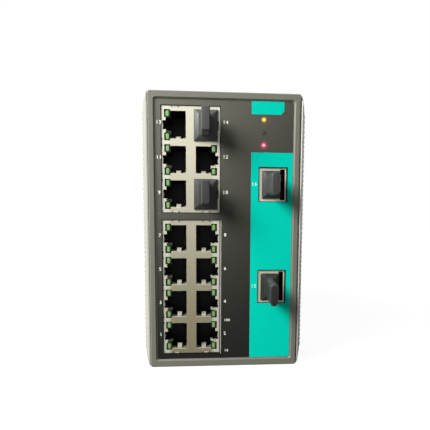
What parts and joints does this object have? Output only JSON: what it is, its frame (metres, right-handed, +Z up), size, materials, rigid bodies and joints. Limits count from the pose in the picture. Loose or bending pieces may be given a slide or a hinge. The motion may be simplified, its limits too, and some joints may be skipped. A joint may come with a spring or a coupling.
{
  "type": "din rail ethernet switch",
  "caption": "Upright network switch in a ribbed metal housing with stacked sockets on its front panel, dust plugs, status lights and a rail clip on its back.",
  "frame": {"origin": "middle of the housing's underside", "axes": "the front panel faces -Y, +X is to the right seen from the front, +Z is up"},
  "size_m": [0.08, 0.1227, 0.1415],
  "materials": {
    "bezel_paint": "satin",
    "plate_steel": "matt",
    "overlay_film": "satin film",
    "accent_film": "satin film",
    "shell_aluminium": "matt coated",
    "chassis_paint": "matt",
    "screw_steel": "plated",
    "rail_metal": "satin",
    "spring_steel": "bright",
    "jack_shield": "nickel plated",
    "jack_plastic": "moulded",
    "light_pipe": "translucent",
    "contact_gold": "gold plated",
    "plug_rubber": "satin",
    "lens_amber": "lit",
    "lens_dark": "unlit",
    "lens_red": "lit",
    "board_green": "solder mask",
    "chip_black": "moulded",
    "pad_grey": "soft",
    "terminal_green": "moulded",
    "switch_red": "moulded",
    "slider_white": "moulded"
  },
  "bodies": {
    "housing": {"front_bezel": "bezel_paint", "front_plate": "plate_steel", "panel_overlay": "overlay_film", "accent_strip": "accent_film", "left_side_shell": "shell_aluminium", "right_side_shell": "shell_aluminium", "chassis": "chassis_paint", "plate_screws": "screw_steel", "rear_screws": "screw_steel", "ground_screw": "screw_steel", "din_rail_plate": "rail_metal", "din_rail_spring": "spring_steel", "din_plate_screws": "screw_steel", "lower_jack_shield": "jack_shield", "lower_jack_body": "jack_plastic", "lower_light_pipes": "light_pipe", "upper_jack_shield": "jack_shield", "upper_jack_body": "jack_plastic", "upper_light_pipes": "light_pipe", "jack_15_shield": "jack_shield", "jack_15_body": "jack_plastic", "jack_16_shield": "jack_shield", "jack_16_body": "jack_plastic", "jack_contacts": "contact_gold", "dust_plug_10": "plug_rubber", "dust_plug_14": "plug_rubber", "dust_plug_15": "plug_rubber", "dust_plug_16": "plug_rubber", "power_1_light": "lens_amber", "power_2_light": "lens_dark", "fault_light": "lens_red", "main_board": "board_green", "power_board": "board_green", "link_board": "board_green", "dip_board": "board_green", "switch_chip": "chip_black", "heat_pad": "pad_grey", "line_transformers": "chip_black", "power_converter": "chip_black", "alarm_relay": "chip_black", "terminal_header": "terminal_green", "terminal_plug": "terminal_green", "terminal_screws": "screw_steel", "slide_switch_bodies": "switch_red"},
    "slider_01_body": {"slider_01": "slider_white"},
    "slider_02_body": {"slider_02": "slider_white"},
    "slider_03_body": {"slider_03": "slider_white"},
    "slider_04_body": {"slider_04": "slider_white"},
    "slider_05_body": {"slider_05": "slider_white"},
    "slider_06_body": {"slider_06": "slider_white"},
    "slider_07_body": {"slider_07": "slider_white"},
    "slider_08_body": {"slider_08": "slider_white"},
    "slider_09_body": {"slider_09": "slider_white"},
    "slider_10_body": {"slider_10": "slider_white"},
    "slider_11_body": {"slider_11": "slider_white"},
    "slider_12_body": {"slider_12": "slider_white"},
    "slider_13_body": {"slider_13": "slider_white"},
    "slider_14_body": {"slider_14": "slider_white"},
    "slider_15_body": {"slider_15": "slider_white"},
    "slider_16_body": {"slider_16": "slider_white"}
  },
  "joints": [
    {"name": "slider_01_travel", "type": "slide", "parent": "housing", "child": "slider_01_body", "axis": [0, 1, 0], "range_m": [0, 0.0014]},
    {"name": "slider_02_travel", "type": "slide", "parent": "housing", "child": "slider_02_body", "axis": [0, 1, 0], "range_m": [0, 0.0014]},
    {"name": "slider_03_travel", "type": "slide", "parent": "housing", "child": "slider_03_body", "axis": [0, 1, 0], "range_m": [0, 0.0014]},
    {"name": "slider_04_travel", "type": "slide", "parent": "housing", "child": "slider_04_body", "axis": [0, 1, 0], "range_m": [0, 0.0014]},
    {"name": "slider_05_travel", "type": "slide", "parent": "housing", "child": "slider_05_body", "axis": [0, 1, 0], "range_m": [0, 0.0014]},
    {"name": "slider_06_travel", "type": "slide", "parent": "housing", "child": "slider_06_body", "axis": [0, 1, 0], "range_m": [0, 0.0014]},
    {"name": "slider_07_travel", "type": "slide", "parent": "housing", "child": "slider_07_body", "axis": [0, 1, 0], "range_m": [0, 0.0014]},
    {"name": "slider_08_travel", "type": "slide", "parent": "housing", "child": "slider_08_body", "axis": [0, 1, 0], "range_m": [0, 0.0014]},
    {"name": "slider_09_travel", "type": "slide", "parent": "housing", "child": "slider_09_body", "axis": [0, 1, 0], "range_m": [0, 0.0014]},
    {"name": "slider_10_travel", "type": "slide", "parent": "housing", "child": "slider_10_body", "axis": [0, 1, 0], "range_m": [0, 0.0014]},
    {"name": "slider_11_travel", "type": "slide", "parent": "housing", "child": "slider_11_body", "axis": [0, 1, 0], "range_m": [0, 0.0014]},
    {"name": "slider_12_travel", "type": "slide", "parent": "housing", "child": "slider_12_body", "axis": [0, 1, 0], "range_m": [0, 0.0014]},
    {"name": "slider_13_travel", "type": "slide", "parent": "housing", "child": "slider_13_body", "axis": [0, 1, 0], "range_m": [0, 0.0014]},
    {"name": "slider_14_travel", "type": "slide", "parent": "housing", "child": "slider_14_body", "axis": [0, 1, 0], "range_m": [0, 0.0014]},
    {"name": "slider_15_travel", "type": "slide", "parent": "housing", "child": "slider_15_body", "axis": [0, 1, 0], "range_m": [0, 0.0014]},
    {"name": "slider_16_travel", "type": "slide", "parent": "housing", "child": "slider_16_body", "axis": [0, 1, 0], "range_m": [0, 0.0014]}
  ]
}
